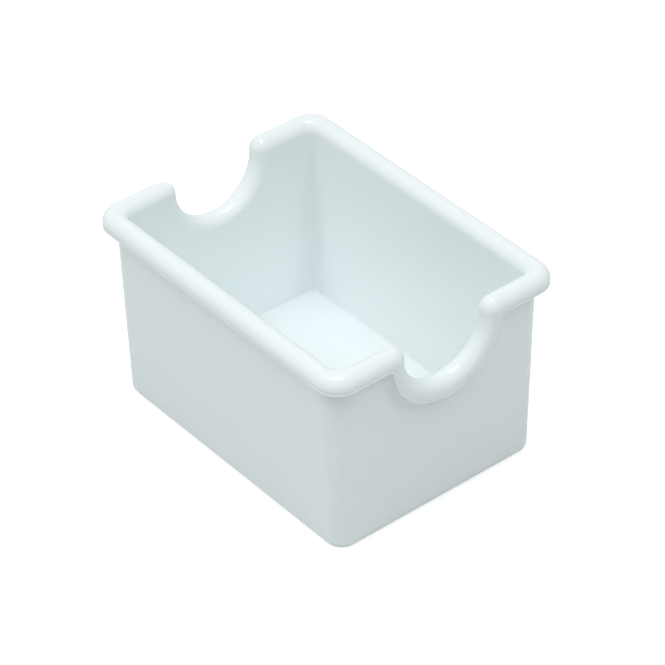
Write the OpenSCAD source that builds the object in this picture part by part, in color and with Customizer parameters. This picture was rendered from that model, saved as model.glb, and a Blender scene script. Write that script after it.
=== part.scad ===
// Sugar packet holder: one moulded tub with drafted walls, a rolled rim
// and a U-shaped finger notch in each end wall.
// Units are millimetres. The origin is at the middle of the underside.
// X runs along the length, through both notches, Y across and Z up.

/* [Overall] */
// Length over the rim, from end to end
rim_l = 86; // [66:0.5:140]
// Width over the rim, from side to side
rim_w = 65; // [50:0.5:110]
// Height from the table to the top of the rim
height = 50.5; // [36:0.5:80]

/* [Walls and floor] */
// Thickness of the four walls
wall = 3; // [2.2:0.1:4]
// Height of the inside floor above the table
floor_h = 3; // [2:0.1:6]
// Lean of each wall, in degrees off upright
draft = 1.4; // [0.5:0.1:2.5]
// Radius of the inside upright corners, at the floor
inside_corner_r = 1.3; // [0.8:0.1:4]
// Radius where the floor meets the walls inside
floor_fillet_r = 0.5; // [0.2:0.1:0.8]
// Rounding where the walls meet the underside
foot_edge_r = 1.4; // [0.6:0.1:2]

/* [Rolled rim] */
// How far the rim stands out from the wall
rim_out = 2.5; // [1.6:0.1:3.5]
// Height of the rim's outer face below its widest line
rim_skirt = 1.15; // [0.7:0.05:2]
// Rounding of the rim's lower edge
rim_edge_r = 0.45; // [0.2:0.05:0.65]
// Hollow rounding where the rim's underside meets the wall
rim_root_r = 1.2; // [0.4:0.1:1.6]
// Radius of the rim's corners, seen from above
rim_corner_r = 6; // [4.5:0.1:7.5]

/* [Finger notches] */
// Radius of the round bottom of each notch
notch_r = 11.4; // [8:0.1:15]
// Radius of the rounded shoulders beside each notch
shoulder_r = 3; // [2:0.1:5]
// Length of the straight sides between shoulder and round bottom
notch_side = 0.1; // [0.1:0.1:8]
// Height of the rim's outer face round the notches, below its widest line
notch_skirt = 1.8; // [0.7:0.05:2]

/* [Underside] */
// Width of the foot that runs round the underside
foot_w = 3.4; // [2.5:0.1:8]
// Depth of the recess inside the foot
recess = 0.6; // [0.3:0.1:1.2]

/* [Hidden] */
$fn = 96;

// Points where one form meets the next lie on this grid, so that both have the same ones
steps_per_mm = 10000;
function on_grid(v) = round(v * steps_per_mm) / steps_per_mm;

// Overrun of every cut past the face that it opens
over = wall / 3;

// The rim's round top spans the wall and the part that stands out
rim_r = (wall + rim_out) / 2;
// Depth of the rim's lower edge under its crest, and level of its widest line
crest_to_edge = rim_r + rim_skirt;
rim_z = height - rim_r;
// Centre of the rim's round section, from the middle of the part
rim_x = rim_l / 2 - rim_r;
rim_y = rim_w / 2 - rim_r;

// Distance from a corner's axis to the rim's centre line
inside_rise = rim_z - floor_h;
wall_axis = on_grid(inside_corner_r + inside_rise * tan(draft) + rim_r / cos(draft));
rim_axis = rim_corner_r - rim_r;

// Where the plain walls stop inside the rim, under the crest
wall_top_depth = (rim_r + crest_to_edge) / 2;

// Centre of the notch's round bottom, under the crest, and middle of each shoulder
notch_depth = shoulder_r + notch_side;
shoulder_y = notch_r + shoulder_r;

// Distance from a corner's axis to a wall face at height z.
// face is the distance of that face outside the rim's centre line.
function face_r(axis, face, z) = axis + on_grid(face / cos(draft) - (rim_z - z) * tan(draft));

// Half of an upright section through the tub, from an axis out to a wall face,
// with its lower corner rounded. The axis lies at x = 0.
module half_section(axis, face, bottom, top, round_r) {
    foot = face_r(axis, face, bottom);
    round_x = foot - on_grid(round_r * (1 - sin(draft)) / cos(draft));
    round_z = bottom + round_r;
    touch = [on_grid(round_r * cos(draft)), on_grid(round_r * sin(draft))];
    polygon([
        [0, bottom],
        [round_x, bottom],
        [round_x, round_z],
        [round_x + touch[0], round_z - touch[1]],
        [face_r(axis, face, top), top],
        [0, top]
    ]);
    translate([round_x, round_z]) circle(r = round_r);
}

// The outside of the walls, up to a level inside the rim, with the rounding under it
module outer_section(axis) {
    half_section(axis, wall - rim_r, 0, height - wall_top_depth, foot_edge_r);
    translate([axis, rim_z]) rotate(-draft) root_section(rim_skirt);
}

// The hollow, with a mouth that opens out over the rim's round top
module inner_section(axis) {
    touch_x = axis - on_grid(rim_r * cos(draft));
    touch_z = rim_z + on_grid(rim_r * sin(draft));
    half_section(axis, -rim_r, floor_h, touch_z, floor_fillet_r);
    difference() {
        polygon([
            [0, touch_z],
            [touch_x, touch_z],
            [axis, rim_z],
            [axis, height + over],
            [0, height + over]
        ]);
        translate([axis, rim_z]) circle(r = rim_r);
    }
}

// Section of the rim about the centre of its round top: x outward, y up the wall.
// skirt is the height of its straight outer face, below the widest line.
module rim_section(skirt) {
    round_x = rim_r - rim_edge_r;
    intersection() {
        circle(r = rim_r);
        translate([-rim_r - over, 0]) square([2 * (rim_r + over), rim_r + over]);
    }
    translate([-rim_r, -skirt]) square([rim_r + round_x, skirt]);
    translate([-rim_r, rim_edge_r - skirt]) square([2 * rim_r, skirt - rim_edge_r]);
    translate([round_x, rim_edge_r - skirt]) circle(r = rim_edge_r);
}

// The hollow rounding under the rim, in the same place as the rim's section
module root_section(skirt) {
    face = wall - rim_r;
    root_r = min(rim_root_r, rim_out - rim_edge_r);
    difference() {
        translate([face - over, -skirt - root_r]) square([root_r + over, root_r + skirt]);
        translate([face + root_r, -skirt - root_r]) circle(r = root_r);
    }
}

// Upright section of the rim, from a corner's axis, with the inner half of its top
// left full. The mouth of the hollow rounds that half.
module rim_blank_section(axis) {
    intersection() {
        union() {
            translate([axis, rim_z]) rotate(-draft) rim_section(rim_skirt);
            translate([axis - wall_axis, rim_z - rim_skirt])
                square([wall_axis, rim_skirt + rim_r]);
        }
        translate([0, rim_z - rim_skirt - rim_r])
            square([axis + rim_r + over, rim_skirt + 2 * rim_r + over]);
    }
}

// A solid whose straight sides and round corners share one half section.
// The children draw that section: child 0 for the ends, 1 for the sides, 2 for the corners.
module drafted_box(corner_x, corner_y) {
    for (side = [0, 1]) {
        mirror([side, 0, 0])
            rotate([90, 0, 0])
                linear_extrude(height = 2 * corner_y, center = true) children(0);
        mirror([0, side, 0])
            rotate([90, 0, 90])
                linear_extrude(height = 2 * corner_x, center = true) children(1);
        for (end = [0, 1])
            mirror([end, 0, 0])
                mirror([0, side, 0])
                    translate([corner_x, corner_y, 0])
                        rotate_extrude(angle = 90) children(2);
    }
}

module tub_outside() {
    drafted_box(rim_x - wall_axis, rim_y - wall_axis) {
        outer_section(rim_x);
        outer_section(rim_y);
        outer_section(wall_axis);
    }
}

module hollow() {
    drafted_box(rim_x - wall_axis, rim_y - wall_axis) {
        inner_section(rim_x);
        inner_section(rim_y);
        inner_section(wall_axis);
    }
}

// Shallow recess that leaves a foot all round the underside
module underside_recess() {
    corner_r = max(face_r(wall_axis, wall - rim_r, 0) - foot_w, foot_edge_r);
    half_l = face_r(rim_x, wall - rim_r, 0) - foot_w;
    half_w = face_r(rim_y, wall - rim_r, 0) - foot_w;
    translate([0, 0, -over])
        linear_extrude(height = over + recess) {
            square([2 * half_l, 2 * (half_w - corner_r)], center = true);
            square([2 * (half_l - corner_r), 2 * half_w], center = true);
            for (x = [-1, 1])
                for (y = [-1, 1])
                    translate([x * (half_l - corner_r), y * (half_w - corner_r)])
                        circle(r = corner_r);
        }
}

// The rim along both sides, round the four corners and up to the notches
module rim_blank() {
    corner_x = rim_x - rim_axis;
    corner_y = rim_y - rim_axis;
    for (side = [0, 1]) {
        mirror([0, side, 0])
            rotate([90, 0, 90])
                linear_extrude(height = 2 * corner_x, center = true) rim_blank_section(rim_y);
        for (end = [0, 1])
            mirror([end, 0, 0])
                mirror([0, side, 0]) {
                    translate([corner_x, corner_y, 0])
                        rotate_extrude(angle = 90) rim_blank_section(rim_axis);
                    translate([0, corner_y, 0])
                        rotate([90, 0, 0])
                            linear_extrude(height = corner_y - shoulder_y)
                                rim_blank_section(rim_x);
                }
    }
}

// Puts its children in the flat of each end wall, about the rim's centre line:
// x outward, y along the wall, z up the leaning wall
module in_end_walls() {
    for (end = [0, 1])
        mirror([end, 0, 0])
            translate([rim_x, 0, rim_z])
                rotate([0, draft, 0])
                    children();
}

// Turns a section about an axis square to the end wall, at a depth under the crest.
// x in the section is the distance from that axis and y is outward. The turn starts
// at start degrees, counted from straight down.
module turn_in_wall(y, depth, start, span) {
    translate([0, y, rim_r - depth])
        rotate([0, 90, 0])
            rotate([0, 0, start])
                rotate_extrude(angle = span) children();
}

// Takes the plain wall away where the notch and its rim go
module notch_clearance() {
    reach = notch_r + wall_top_depth;
    depth = wall + rim_root_r + 2 * over;
    in_end_walls() {
        translate([-rim_r - over, 0, rim_r - notch_depth])
            rotate([0, 90, 0])
                cylinder(r = reach, h = depth);
        translate([-rim_r - over, -reach, rim_r - notch_depth])
            cube([depth, 2 * reach, notch_depth + over]);
    }
}

// The rim as it dips through each notch: shoulder, side, round bottom and back
module notch_rim() {
    in_end_walls() {
        turn_in_wall(0, notch_depth, -90, 180)
            translate([notch_r + rim_r, 0])
                rotate(90) {
                    rim_section(notch_skirt);
                    root_section(notch_skirt);
                }
        for (side = [0, 1])
            mirror([0, side, 0]) {
                translate([0, notch_r + rim_r, rim_r - notch_depth])
                    linear_extrude(height = notch_side) mirror([0, 1]) rim_section(notch_skirt);
                turn_in_wall(shoulder_y, shoulder_r, 180, 90)
                    intersection() {
                        translate([shoulder_r - rim_r, 0]) mirror([1, -1]) rim_section(rim_skirt);
                        translate([0, -rim_r - over])
                            square([shoulder_r + over, 2 * (rim_r + over)]);
                    }
            }
    }
}

// The whole moulding: walls, floor, foot and rolled rim in one piece
module moulded_tub() {
    color([0.93, 0.97, 0.97]) {
        difference() {
            union() {
                difference() {
                    tub_outside();
                    notch_clearance();
                }
                rim_blank();
            }
            hollow();
            underside_recess();
        }
        notch_rim();
    }
}

moulded_tub();
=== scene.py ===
"""Looks of the sugar packet holder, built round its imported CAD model.

The holder is one glossy white moulding. The CAD solid sets its size and form. This
script draws the same form as one fine, evenly shaded skin with the small roundings
that the mould leaves on every edge, and gives it a moulded plastic finish.
"""

import logging
import math
from dataclasses import dataclass, field
from enum import Enum

import bpy
import numpy as np
from mathutils import Matrix, Vector


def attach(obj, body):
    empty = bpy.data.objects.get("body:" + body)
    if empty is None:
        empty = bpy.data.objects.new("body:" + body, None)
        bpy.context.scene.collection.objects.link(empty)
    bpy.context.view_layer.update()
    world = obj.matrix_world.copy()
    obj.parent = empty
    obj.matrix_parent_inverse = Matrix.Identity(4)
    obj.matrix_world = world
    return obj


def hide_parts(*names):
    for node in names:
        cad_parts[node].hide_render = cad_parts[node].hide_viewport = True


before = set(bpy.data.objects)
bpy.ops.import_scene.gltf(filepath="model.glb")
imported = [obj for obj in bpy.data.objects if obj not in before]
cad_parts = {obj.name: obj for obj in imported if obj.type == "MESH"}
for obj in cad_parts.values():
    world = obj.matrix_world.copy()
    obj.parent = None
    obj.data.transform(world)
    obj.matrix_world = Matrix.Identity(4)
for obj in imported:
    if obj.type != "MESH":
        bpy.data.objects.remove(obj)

LOG = logging.getLogger("packet_holder")
MM = 0.001
NODE = "moulded_tub"
BODY = "root"

# A number small enough to count as nothing
TINY = 1e-9
# The middle of a noise texture's factor
NOISE_MIDDLE = 0.5

Array = np.ndarray
Value = float | bpy.types.NodeSocket


def rounded_cut(a: Array, b: Array, radius: float) -> Array:
    """Joins two signed distances as an intersection with a rounded edge.

    Args:
        a: distances to the first surface, negative inside.
        b: distances to the second surface, negative inside.
        radius: radius of the rounding where the two surfaces meet.

    Returns:
        The distances to the rounded intersection.
    """
    near = np.minimum(np.maximum(a, b), -radius)
    return near + np.hypot(np.maximum(a + radius, 0.0), np.maximum(b + radius, 0.0))


def rounded_join(a: Array, b: Array, radius: float) -> Array:
    """Joins two signed distances as a union with a hollow rounding between them.

    Args:
        a: distances to the first surface, negative inside.
        b: distances to the second surface, negative inside.
        radius: radius of the hollow rounding.

    Returns:
        The distances to the rounded union.
    """
    return -rounded_cut(-a, -b, radius)


def smooth_step(share: Array) -> Array:
    """Eases a share from 0 to 1, level at both ends and outside them."""
    held = np.clip(share, 0.0, 1.0)
    return held * held * (3.0 - 2.0 * held)


def from_corner_axis(x: Array, y: Array, corner_x: float, corner_y: float) -> Array:
    """Distance in plan from the box that joins the four corner axes.

    Args:
        x: positions along the length.
        y: positions across.
        corner_x: distance of the corner axes from the middle, along the length.
        corner_y: distance of the corner axes from the middle, across.

    Returns:
        Distances outside the box, negative within it.
    """
    dx = np.abs(x) - corner_x
    dy = np.abs(y) - corner_y
    outside = np.hypot(np.maximum(dx, 0.0), np.maximum(dy, 0.0))
    return outside + np.minimum(np.maximum(dx, dy), 0.0)


@dataclass(frozen=True)
class TubSizes:
    """Sizes of the moulded tub, in millimetres and degrees.

    They are those of its CAD source, with the small forms that its solid leaves out: the
    parting line's lip, the wider root and blend at the collars, and the gate in its well.
    """

    rim_length: float = 86.0
    rim_width: float = 65.0
    height: float = 50.5
    wall: float = 3.0
    floor_height: float = 3.0
    draft: float = 1.4
    inside_corner: float = 1.3
    floor_fillet: float = 0.5
    foot_edge: float = 1.4
    rim_out: float = 2.5
    rim_skirt: float = 1.15
    rim_root: float = 1.2
    rim_corner: float = 6.0
    notch: float = 11.4
    shoulder: float = 3.0
    notch_side: float = 0.1
    notch_skirt: float = 1.8
    lip_edge: float = 0.2
    lip_face: float = 0.15
    lip_top: float = 0.55
    lip_hollow: float = 1.1
    lip_depth: float = 0.12
    collar_root: float = 2.2
    collar_blend: float = 0.8
    root_change: float = 2.0
    foot_width: float = 3.4
    recess: float = 0.6
    recess_edge: float = 0.25
    gate: float = 1.6
    gate_well: float = 3.4
    gate_depth: float = 0.3

    @property
    def rim(self) -> float:
        """Radius of the rim's round top."""
        return (self.wall + self.rim_out) / 2

    @property
    def lean(self) -> float:
        """Draft of the walls in radians."""
        return math.radians(self.draft)

    @property
    def rim_level(self) -> float:
        """Height of the centre of the rim's round top."""
        return self.height - self.rim

    @property
    def wall_axis(self) -> float:
        """Distance from a wall corner's axis to the rim's centre line."""
        rise = self.rim_level - self.floor_height
        return self.inside_corner + rise * math.tan(self.lean) + self.rim / math.cos(self.lean)


@dataclass(frozen=True)
class TubForm:
    """The tub's solid as a signed distance, negative inside the plastic."""

    sizes: TubSizes = field(default_factory=TubSizes)

    def in_wall(self, x: Array, y: Array, z: Array, axis: float) -> tuple[Array, Array]:
        """Position in the frame of the nearest leaning wall.

        Args:
            x: positions along the length.
            y: positions across.
            z: heights.
            axis: distance from the corners' axes to the rim's centre line.

        Returns:
            Distance outward from the rim's centre line, and distance up the wall.
        """
        s = self.sizes
        corner_x = s.rim_length / 2 - s.rim - axis
        corner_y = s.rim_width / 2 - s.rim - axis
        out = from_corner_axis(x, y, corner_x, corner_y) - axis
        up = z - s.rim_level
        cos, sin = math.cos(s.lean), math.sin(s.lean)
        return out * cos - up * sin, out * sin + up * cos

    def past_notch(self, y: Array, up: Array) -> Array:
        """Distance from the notch's opening in the plane of an end wall.

        Args:
            y: positions across.
            up: distances up the wall from the rim's centre line.

        Returns:
            Distances outside the opening, negative within it.
        """
        s = self.sizes
        below = np.minimum(up - (s.rim - s.shoulder - s.notch_side), 0.0)
        return np.hypot(y, below) - s.notch

    def distance(self, p: Array) -> Array:
        """Signed distance to the tub's surface.

        Args:
            p: points in millimetres, one to a row.

        Returns:
            One distance for each point.
        """
        s = self.sizes
        x, y, z = p[:, 0], p[:, 1], p[:, 2]
        wall_n, wall_u = self.in_wall(x, y, z, s.wall_axis)
        rim_n, rim_u = self.in_wall(x, y, z, s.rim_corner - s.rim)
        up = np.where(rim_n > 0, rim_u, np.where(wall_n < 0, wall_u, z - s.rim_level))

        # the round top follows the crest along the walls, round the shoulders and the notches
        crest = rounded_cut(up - s.rim, -self.past_notch(y, up), s.shoulder)
        side = np.maximum(np.maximum(rim_n, -wall_n), 0.0)
        above = np.maximum(s.rim + crest, 0.0)
        top = np.where(above > 0, np.hypot(side, above), np.maximum(rim_n, 0.0)) - s.rim

        # the rim stands out from the wall down to its lower edge, with a wider root at the collars
        straight, collar = self.below_edges(y, rim_u)
        share = 0.5 + (straight - collar) / (2 * s.root_change)
        root = s.rim_root + (s.collar_root - s.rim_root) * smooth_step(share)
        edge = rounded_join(straight, collar, s.collar_blend)
        rim = rounded_cut(rim_n - s.rim + self.above_lip(edge), edge, s.lip_edge)
        outside = rounded_join(wall_n - (s.wall - s.rim), rim, root)
        outside = rounded_cut(outside, -z, s.foot_edge)

        hollow = rounded_cut(wall_n + s.rim, s.floor_height - z, s.floor_fillet)
        solid = np.maximum(np.maximum(outside, top), -hollow)
        return rounded_cut(solid, -self.underside(x, y, z), s.recess_edge)

    def below_edges(self, y: Array, up: Array) -> tuple[Array, Array]:
        """Distances past the straight rim's lower edge and past a notch's collar."""
        s = self.sizes
        return -s.rim_skirt - up, self.past_notch(y, up) - (s.rim + s.notch_skirt)

    def above_lip(self, edge: Array) -> Array:
        """Depth of the shallow hollow that leaves the parting line's lip along the rim's edge.

        Args:
            edge: distances past the rim's lower edge, negative within the rim.

        Returns:
            The hollow's depth at each point.
        """
        s = self.sizes
        rise = smooth_step((-edge - s.lip_face) / (s.lip_top - s.lip_face))
        fall = smooth_step((s.lip_hollow + edge) / (s.lip_hollow - s.lip_top))
        return s.lip_depth * rise * fall

    def underside(self, x: Array, y: Array, z: Array) -> Array:
        """Signed distance to the shallow space inside the foot, with the gate's well.

        Args:
            x: positions along the length.
            y: positions across.
            z: heights.

        Returns:
            Distances outside the space, negative within it.
        """
        s = self.sizes
        foot = s.wall_axis + (s.wall - s.rim) / math.cos(s.lean)
        foot -= s.rim_level * math.tan(s.lean) + s.foot_width
        corner = max(foot, s.foot_edge)
        half_x = s.rim_length / 2 - s.rim - s.wall_axis + foot
        half_y = s.rim_width / 2 - s.rim - s.wall_axis + foot
        plan = from_corner_axis(x, y, half_x - corner, half_y - corner) - corner
        recess = rounded_cut(plan, z - s.recess, s.recess_edge)
        centre = np.hypot(x, y)
        well = rounded_cut(centre - s.gate_well, z - s.recess - s.gate_depth, s.recess_edge)
        recess = rounded_join(recess, well, s.recess_edge)
        gate = rounded_cut(centre - s.gate, s.recess - z, s.recess_edge)
        return rounded_cut(recess, -gate, s.recess_edge)

    def slope(self, p: Array, step: float = 1e-3) -> Array:
        """Gradient of the signed distance, by central differences.

        Args:
            p: points in millimetres, one to a row.
            step: distance to the point on each side.

        Returns:
            One gradient for each point, in a row.
        """
        out = np.empty_like(p)
        for k in range(3):
            d = np.zeros(3)
            d[k] = step
            out[:, k] = (self.distance(p + d) - self.distance(p - d)) / (2 * step)
        return out


def graded(*stretches: tuple[float, float, float]) -> Array:
    """Grid lines with their own spacing on each stretch.

    Args:
        stretches: start, end and greatest spacing of each stretch, each from the last one's end.

    Returns:
        The sorted grid lines.
    """
    lines: list[Array] = []
    for start, end, spacing in stretches:
        count = max(1, math.ceil((end - start) / spacing - TINY))
        lines.append(np.linspace(start, end, count, endpoint=False))
    lines.append(np.array([stretches[-1][1]]))
    return np.concatenate(lines)


@dataclass
class SurfaceNet:
    """Draws the surface of a signed distance as quads on a graded grid.

    The points are settled on the surface in a few rounds. least_slope keeps a round's
    steps short where the distance is nearly level.
    """

    form: TubForm
    lines: tuple[Array, Array, Array]
    settle_rounds: int = 5
    least_slope: float = 0.5

    def build(self) -> tuple[Array, Array, Array]:
        """Makes the skin.

        Returns:
            Points in millimetres, quads as rows of four point numbers, and unit normals.
        """
        grid = np.stack(np.meshgrid(*self.lines, indexing="ij"), axis=-1)
        shape = grid.shape[:3]
        value = self.form.distance(grid.reshape(-1, 3)).reshape(shape)
        points, cell = self.cell_points(grid, value)
        quads = self.cell_quads(value, cell)
        for _ in range(self.settle_rounds):
            slope = self.form.slope(points)
            squared = np.maximum((slope**2).sum(1, keepdims=True), self.least_slope**2)
            points = points - slope * (self.form.distance(points)[:, None] / squared)
        normals = self.form.slope(points)
        normals /= np.maximum(np.linalg.norm(normals, axis=1, keepdims=True), TINY)
        return points, quads, normals

    @staticmethod
    def cell_points(grid: Array, value: Array) -> tuple[Array, Array]:
        """Puts one point in each cell that the surface passes through.

        Args:
            grid: positions of the grid's corners.
            value: signed distances at the corners.

        Returns:
            The points, and a grid of cells with each cell's point number or -1.
        """
        cells = tuple(n - 1 for n in value.shape)
        total = np.zeros(cells + (3,))
        count = np.zeros(cells)
        for axis in range(3):
            low = [slice(None)] * 3
            high = [slice(None)] * 3
            low[axis], high[axis] = slice(None, -1), slice(1, None)
            a, b = value[tuple(low)], value[tuple(high)]
            crosses = (a < 0) != (b < 0)
            share = np.where(crosses, a / np.where(crosses, a - b, 1.0), 0.0)[..., None]
            spot = grid[tuple(low)] * (1 - share) + grid[tuple(high)] * share
            spot = np.where(crosses[..., None], spot, 0.0)
            others = [k for k in range(3) if k != axis]
            for i in (0, 1):
                for j in (0, 1):
                    part = [slice(None)] * 3
                    part[others[0]] = slice(i, cells[others[0]] + i)
                    part[others[1]] = slice(j, cells[others[1]] + j)
                    total += spot[tuple(part)]
                    count += crosses[tuple(part)]
        used = count > 0
        cell = np.full(cells, -1)
        cell[used] = np.arange(int(used.sum()))
        return total[used] / count[used][:, None], cell

    @staticmethod
    def cell_quads(value: Array, cell: Array) -> Array:
        """Joins the points of the four cells round each crossed grid edge, facing outward.

        Args:
            value: signed distances at the grid's corners.
            cell: point number of each cell, or -1.

        Returns:
            The quads, as rows of four point numbers.
        """
        quads = []
        for axis in range(3):
            u, v = (axis + 1) % 3, (axis + 2) % 3
            inner = [slice(1, -1)] * 3
            inner[axis] = slice(None, -1)
            after = list(inner)
            after[axis] = slice(1, None)
            a, b = value[tuple(inner)], value[tuple(after)]
            crosses = (a < 0) != (b < 0)
            where = np.argwhere(crosses)
            flip = b[crosses] < 0
            ring = []
            for du, dv in ((0, 0), (1, 0), (1, 1), (0, 1)):
                at = where.copy()
                at[:, u] += du
                at[:, v] += dv
                ring.append(cell[at[:, 0], at[:, 1], at[:, 2]])
            quad = np.stack(ring, axis=1)
            quad[flip] = quad[flip][:, ::-1]
            quads.append(quad)
        return np.concatenate(quads)


class Surface(Enum):
    """Colours of the holder, of what it stands on and of the light round it."""

    PLASTIC = (0.93, 0.99, 0.99)
    TABLE = (0.62, 0.66, 0.65)
    DAYLIGHT = (0.9, 0.995, 0.97)
    LAMPLIGHT = (0.98, 0.915, 0.965)


def new_group(name: str, inputs: dict[str, float], outputs: dict[str, str]) -> bpy.types.NodeTree:
    """Starts a shader node group with float inputs.

    Args:
        name: the group's name.
        inputs: each input's name and default value.
        outputs: each output's name and socket type.

    Returns:
        The group, with its Group Input and Group Output nodes.
    """
    group = bpy.data.node_groups.new(name, "ShaderNodeTree")
    for label, value in inputs.items():
        socket = group.interface.new_socket(label, in_out="INPUT", socket_type="NodeSocketFloat")
        socket.default_value = value
    for label, kind in outputs.items():
        group.interface.new_socket(label, in_out="OUTPUT", socket_type=kind)
    group.nodes.new("NodeGroupInput").name = "in"
    group.nodes.new("NodeGroupOutput").name = "out"
    return group


def set_or_link(tree: bpy.types.NodeTree, value: Value, socket: bpy.types.NodeSocket) -> None:
    """Gives a socket a number, or links another socket to it."""
    if isinstance(value, (int, float)):
        socket.default_value = value
    else:
        tree.links.new(value, socket)


def math_node(tree: bpy.types.NodeTree, kind: str, a: Value, b: Value = 0.0) -> bpy.types.NodeSocket:
    """Adds a Math node and returns its result.

    Args:
        tree: the tree that gets the node.
        kind: the node's operation.
        a: a number or a socket.
        b: a number or a socket.

    Returns:
        The node's output socket.
    """
    node = tree.nodes.new("ShaderNodeMath")
    node.operation = kind
    set_or_link(tree, a, node.inputs[0])
    set_or_link(tree, b, node.inputs[1])
    return node.outputs[0]


def seen_directly(tree: bpy.types.NodeTree) -> bpy.types.NodeSocket:
    """Adds a factor of 1 for the camera's own rays and for those mirrored or let through.

    Args:
        tree: the tree that gets the nodes.

    Returns:
        The factor's socket.
    """
    path = tree.nodes.new("ShaderNodeLightPath").outputs
    mirrored = math_node(tree, "MAXIMUM", path["Is Glossy Ray"], path["Is Transmission Ray"])
    return math_node(tree, "MAXIMUM", path["Is Camera Ray"], mirrored)


def centred_noise(
    tree: bpy.types.NodeTree, coords: bpy.types.NodeSocket, scale: Value, detail: float
) -> bpy.types.NodeSocket:
    """Adds a Noise Texture whose result swings about zero.

    Args:
        tree: the tree that gets the nodes.
        coords: the coordinates that the noise follows.
        scale: waves to a metre.
        detail: how many finer waves lie on the first.

    Returns:
        The socket of the noise less its middle.
    """
    node = tree.nodes.new("ShaderNodeTexNoise")
    tree.links.new(coords, node.inputs["Vector"])
    set_or_link(tree, scale, node.inputs["Scale"])
    node.inputs["Detail"].default_value = detail
    return math_node(tree, "SUBTRACT", node.outputs["Fac"], NOISE_MIDDLE)


def moulded_skin_group() -> bpy.types.NodeTree:
    """Builds the fine relief and sheen of a moulded plastic skin.

    Returns:
        A group that puts out a height in metres and a roughness.
    """
    inputs = {
        "Wave height": 2e-5,
        "Wave scale": 45.0,
        "Grain height": 1e-6,
        "Grain scale": 2400.0,
        "Roughness": 0.2,
        "Roughness range": 0.05,
        "Roughness scale": 90.0,
    }
    outputs = {"Height": "NodeSocketFloat", "Roughness": "NodeSocketFloat"}
    group = new_group("moulded_skin", inputs, outputs)
    nodes, links = group.nodes, group.links
    put = nodes["in"].outputs
    coords = nodes.new("ShaderNodeTexCoord").outputs["Object"]
    wave = centred_noise(group, coords, put["Wave scale"], detail=1.0)
    grain = centred_noise(group, coords, put["Grain scale"], detail=2.0)
    patch = centred_noise(group, coords, put["Roughness scale"], detail=3.0)
    high = math_node(group, "MULTIPLY", wave, put["Wave height"])
    fine = math_node(group, "MULTIPLY", grain, put["Grain height"])
    links.new(math_node(group, "ADD", high, fine), nodes["out"].inputs["Height"])
    swing = math_node(group, "MULTIPLY", patch, put["Roughness range"])
    rough = math_node(group, "ADD", put["Roughness"], swing)
    links.new(rough, nodes["out"].inputs["Roughness"])
    return group


@dataclass(frozen=True)
class MouldedPlastic:
    """Glossy opaque plastic straight out of a polished mould."""

    name: str = "white_moulded_plastic"
    color: tuple[float, float, float] = Surface.PLASTIC.value
    roughness: float = 0.11
    ior: float = 1.5

    def build(self) -> bpy.types.Material:
        """Makes the material with its own Principled shader.

        Returns:
            The material.
        """
        material = bpy.data.materials.new(self.name)
        material.use_nodes = True
        tree = material.node_tree
        shader = tree.nodes["Principled BSDF"]
        shader.inputs["IOR"].default_value = self.ior
        shader.inputs["Base Color"].default_value = (*self.color, 1.0)
        skin = tree.nodes.new("ShaderNodeGroup")
        skin.node_tree = moulded_skin_group()
        skin.inputs["Roughness"].default_value = self.roughness
        tree.links.new(skin.outputs["Roughness"], shader.inputs["Roughness"])
        bump = tree.nodes.new("ShaderNodeBump")
        bump.inputs["Distance"].default_value = 1.0
        tree.links.new(skin.outputs["Height"], bump.inputs["Height"])
        tree.links.new(bump.outputs["Normal"], shader.inputs["Normal"])
        return material


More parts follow.
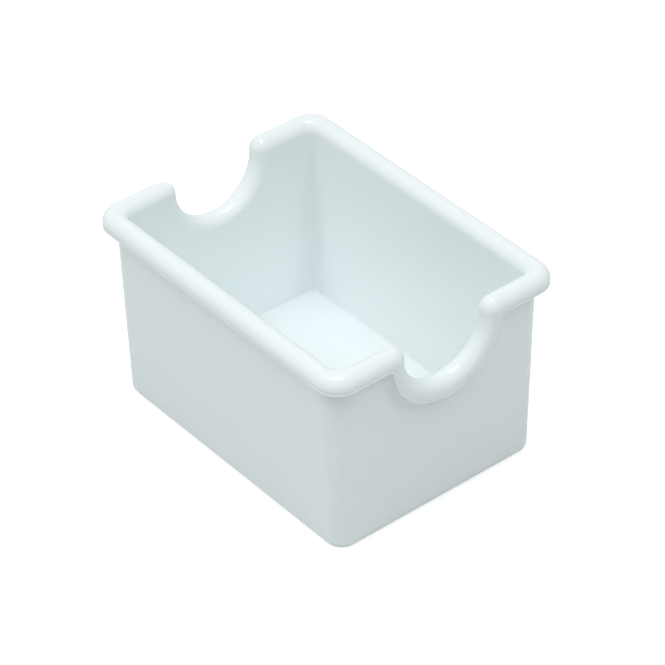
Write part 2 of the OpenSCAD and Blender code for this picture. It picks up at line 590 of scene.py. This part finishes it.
@dataclass
class MouldedTub:
    """The holder's one piece: walls, floor, foot, rolled rim and finger notches.

    Its skin is drawn on a grid in millimetres. The spacing is rim_lip and lip along the
    parting line's lip, lip again at the foot and the floor, fine round corners and on the
    rim, easy where little curves and plain on flat walls. The bands say how far each
    spacing reaches, and the sizes from past_sides to past_floor how far past a face.
    """

    sizes: TubSizes = field(default_factory=TubSizes)
    finish: MouldedPlastic = field(default_factory=MouldedPlastic)
    rim_lip: float = 0.2
    lip: float = 0.24
    fine: float = 0.34
    easy: float = 0.5
    plain: float = 2.0
    past_sides: float = 0.6
    past_top: float = 0.5
    past_foot: float = 0.35
    past_lip: float = 0.4
    past_floor: float = 0.3
    end_band: float = 8.6
    side_band: float = 8.5
    collar_band: float = 6.4
    below_collar: float = 2.4
    above_floor: float = 1.0
    foot_band: float = 1.5
    rim_band: float = 2.0

    def lines(self) -> tuple[Array, Array, Array]:
        """Grid lines, fine round the rim, notches, corners and foot and wide on flat walls.

        Returns:
            The lines along the length, across and upward.
        """
        s = self.sizes
        end, side = s.rim_length / 2 + self.past_sides, s.rim_width / 2 + self.past_sides
        near_end, near_side = end - self.end_band, side - self.side_band
        collar = s.notch + s.rim + s.notch_skirt + self.past_lip
        flank = collar - self.collar_band
        x = graded(
            (-end, -near_end, self.fine),
            (-near_end, near_end, self.plain),
            (near_end, end, self.fine),
        )
        y = graded(
            (-side, -near_side, self.fine),
            (-near_side, -collar, self.plain / 2),
            (-collar, -flank, self.lip),
            (-flank, flank, self.easy),
            (flank, collar, self.lip),
            (collar, near_side, self.plain / 2),
            (near_side, side, self.fine),
        )
        floor_foot = s.floor_height - self.past_floor
        floor_top = s.floor_height + s.floor_fillet + self.past_floor
        collar_foot = s.height - s.shoulder - s.notch_side - collar
        rim_foot = s.rim_level - s.rim_skirt - self.past_lip
        z = graded(
            (-self.past_foot, self.foot_band, self.lip),
            (self.foot_band, floor_foot, self.easy),
            (floor_foot, floor_top, self.lip),
            (floor_top, floor_top + self.above_floor, self.easy),
            (floor_top + self.above_floor, collar_foot - self.below_collar, self.plain),
            (collar_foot - self.below_collar, collar_foot, self.easy),
            (collar_foot, collar_foot + self.collar_band, self.lip),
            (collar_foot + self.collar_band, rim_foot, self.easy),
            (rim_foot, rim_foot + self.rim_band, self.rim_lip),
            (rim_foot + self.rim_band, s.height + self.past_top, self.fine),
        )
        return x, y, z

    def build(self) -> bpy.types.Object:
        """Makes the tub's skin, dresses it and puts it in place of its CAD solid.

        Returns:
            The skin's object.
        """
        points, quads, normals = SurfaceNet(TubForm(self.sizes), self.lines()).build()
        mesh = bpy.data.meshes.new("tub_skin")
        mesh.from_pydata((points * MM).tolist(), [], quads.tolist())
        mesh.validate()
        mesh.shade_smooth()
        mesh.normals_split_custom_set_from_vertices(normals.tolist())
        mesh.materials.append(self.finish.build())
        tub = bpy.data.objects.new("tub_skin", mesh)
        bpy.context.scene.collection.objects.link(tub)
        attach(tub, BODY)
        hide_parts(NODE)
        LOG.info("tub_skin: %d points, %d quads", len(points), len(quads))
        return tub


@dataclass(frozen=True)
class SoftBox:
    """A square studio lamp aimed at the holder.

    It gives soft light without a highlight or, for gloss, a highlight alone.
    """

    name: str
    place: tuple[float, float, float]
    size: float
    power: float
    for_gloss: bool = False
    color: tuple[float, float, float] = Surface.LAMPLIGHT.value

    def build(self, aim: Vector) -> bpy.types.Object:
        """Makes the lamp and turns it to the point that it lights.

        Args:
            aim: the point that it lights.

        Returns:
            The lamp's object.
        """
        light = bpy.data.lights.new(self.name, "AREA")
        light.shape = "SQUARE"
        light.size = self.size
        light.energy = self.power
        light.color = self.color
        lamp = bpy.data.objects.new(self.name, light)
        lamp.location = self.place
        lamp.visible_glossy = self.for_gloss
        lamp.visible_diffuse = not self.for_gloss
        lamp.rotation_mode = "QUATERNION"
        lamp.rotation_quaternion = (aim - lamp.location).to_track_quat("-Z", "Y")
        bpy.context.scene.collection.objects.link(lamp)
        return lamp


def view_direction(azimuth: float, elevation: float) -> Vector:
    """Direction from the holder toward an azimuth and an elevation, both in degrees."""
    a, e = math.radians(azimuth), math.radians(elevation)
    return Vector((math.sin(a) * math.cos(e), -math.cos(a) * math.cos(e), math.sin(e)))


@dataclass(frozen=True)
class PhotoCamera:
    """The photograph's camera, fitted to the holder's outlines.

    Lengths are in metres, the sensor's width is in millimetres, and focal_share is the
    focal length as a share of that width.
    """

    azimuth: float = 51.4397
    elevation: float = 37.77
    roll: float = -1.3099
    distance: float = 0.75637
    focal_share: float = 5.00970
    target: tuple[float, float, float] = (0.0, 0.0, 0.025)
    aim_right: float = 0.001648
    aim_up: float = -0.000735
    sensor: float = 36.0
    nearest: float = 0.05
    farthest: float = 20.0

    def build(self) -> bpy.types.Object:
        """Makes the camera and makes it the scene's own.

        Returns:
            The camera's object.
        """
        turn, r = math.radians(self.azimuth), math.radians(self.roll)
        back = view_direction(self.azimuth, self.elevation)
        level = Vector((math.cos(turn), math.sin(turn), 0.0))
        upright = back.cross(level)
        right = math.cos(r) * level + math.sin(r) * upright
        up = math.cos(r) * upright - math.sin(r) * level
        place = Vector(self.target) + back * self.distance
        aim = Vector(self.target) + right * self.aim_right + up * self.aim_up
        back = (place - aim).normalized()
        right = (right - back * right.dot(back)).normalized()
        up = back.cross(right)
        data = bpy.data.cameras.new("photo_camera")
        data.sensor_width = self.sensor
        data.lens = self.focal_share * self.sensor
        data.clip_start, data.clip_end = self.nearest, self.farthest
        camera = bpy.data.objects.new("photo_camera", data)
        facing = Matrix((right, up, back)).transposed().to_4x4()
        camera.matrix_world = Matrix.Translation(place) @ facing
        bpy.context.scene.collection.objects.link(camera)
        bpy.context.scene.camera = camera
        return camera


@dataclass(frozen=True)
class SkyPatch:
    """A soft patch of the surroundings that is brighter or, below zero, darker than the rest.

    The angles are in degrees.
    """

    azimuth: float
    elevation: float
    sharpness: float
    strength: float

    def add_to(
        self, tree: bpy.types.NodeTree, toward: bpy.types.NodeSocket, total: Value
    ) -> bpy.types.NodeSocket:
        """Adds the patch to a strength.

        Args:
            tree: the world's node tree.
            toward: the direction looked into.
            total: the strength so far.

        Returns:
            The strength with the patch in it.
        """
        dot = tree.nodes.new("ShaderNodeVectorMath")
        dot.operation = "DOT_PRODUCT"
        tree.links.new(toward, dot.inputs[0])
        dot.inputs[1].default_value = view_direction(self.azimuth, self.elevation)
        facing = math_node(tree, "MAXIMUM", dot.outputs["Value"], 0.0)
        patch = math_node(tree, "POWER", facing, self.sharpness)
        return math_node(tree, "ADD", total, math_node(tree, "MULTIPLY", patch, self.strength))


@dataclass(frozen=True)
class Studio:
    """Pale table, soft surroundings, two soft lamps and one lamp for highlights alone."""

    aim: tuple[float, float, float] = (0.0, 0.0, 0.025)
    table_half: float = 1.5
    table_roughness: float = 0.6
    daylight: float = 0.52
    table_seen: float = 0.95
    table_glow: float = 0.35
    patches: tuple[SkyPatch, ...] = (
        SkyPatch(51.4, 5.0, 4.0, -0.52),
        SkyPatch(231.4, 30.0, 3.0, 0.2),
    )
    lamps: tuple[SoftBox, ...] = (
        SoftBox("end_lamp", (0.65, -0.05, 1.1), 0.7, 4.2),
        SoftBox("side_lamp", (-0.05, -0.65, 1.1), 0.7, 5.0),
        SoftBox("glint_lamp", (-0.04, 0.04, 1.2), 0.38, 5.6, for_gloss=True),
    )

    def build(self) -> None:
        """Makes the table, the world and the lamps."""
        half = self.table_half
        mesh = bpy.data.meshes.new("table")
        corners = [(-half, -half, 0.0), (half, -half, 0.0), (half, half, 0.0), (-half, half, 0.0)]
        mesh.from_pydata(corners, [], [(0, 1, 2, 3)])
        mesh.materials.append(self.table_material())
        table = bpy.data.objects.new("table", mesh)
        bpy.context.scene.collection.objects.link(table)
        self.light_world()
        for lamp in self.lamps:
            lamp.build(Vector(self.aim))

    def light_world(self) -> None:
        """Lights the scene evenly and shows white behind it."""
        world = bpy.data.worlds.new("studio")
        bpy.context.scene.world = world
        world.use_nodes = True
        tree = world.node_tree
        light = tree.nodes["Background"]
        toward = tree.nodes.new("ShaderNodeTexCoord").outputs["Generated"]
        strength: Value = self.daylight
        for patch in self.patches:
            strength = patch.add_to(tree, toward, strength)
        tree.links.new(math_node(tree, "MAXIMUM", strength, 0.0), light.inputs["Strength"])
        light.inputs["Color"].default_value = (*Surface.DAYLIGHT.value, 1.0)
        white = tree.nodes.new("ShaderNodeBackground")
        white.inputs["Color"].default_value = (1.0, 1.0, 1.0, 1.0)
        mix = tree.nodes.new("ShaderNodeMixShader")
        tree.links.new(seen_directly(tree), mix.inputs["Fac"])
        tree.links.new(light.outputs["Background"], mix.inputs[1])
        tree.links.new(white.outputs["Background"], mix.inputs[2])
        tree.links.new(mix.outputs["Shader"], tree.nodes["World Output"].inputs["Surface"])

    def table_material(self) -> bpy.types.Material:
        """Makes a pale table that the camera sees as white with the holder's shadow.

        Returns:
            The table's material.
        """
        material = bpy.data.materials.new("pale_table")
        material.use_nodes = True
        tree = material.node_tree
        shader = tree.nodes["Principled BSDF"]
        shader.inputs["Roughness"].default_value = self.table_roughness
        shader.inputs["Emission Color"].default_value = (1.0, 1.0, 1.0, 1.0)
        seen = seen_directly(tree)
        by_camera = tree.nodes.new("ShaderNodeLightPath").outputs["Is Camera Ray"]
        color = tree.nodes.new("ShaderNodeMix")
        color.data_type = "RGBA"
        tree.links.new(seen, color.inputs["Factor"])
        color.inputs["A"].default_value = (*Surface.TABLE.value, 1.0)
        color.inputs["B"].default_value = (self.table_seen,) * 3 + (1.0,)
        tree.links.new(color.outputs["Result"], shader.inputs["Base Color"])
        glow = math_node(tree, "MULTIPLY", by_camera, self.table_glow)
        tree.links.new(glow, shader.inputs["Emission Strength"])
        return material


def main() -> None:
    """Builds the studio and the holder."""
    logging.basicConfig(level=logging.INFO, format="%(name)s: %(message)s")
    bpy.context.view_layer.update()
    bpy.context.scene.view_settings.view_transform = "Standard"
    PhotoCamera().build()
    Studio().build()
    MouldedTub().build()


if __name__ == "__main__":
    main()
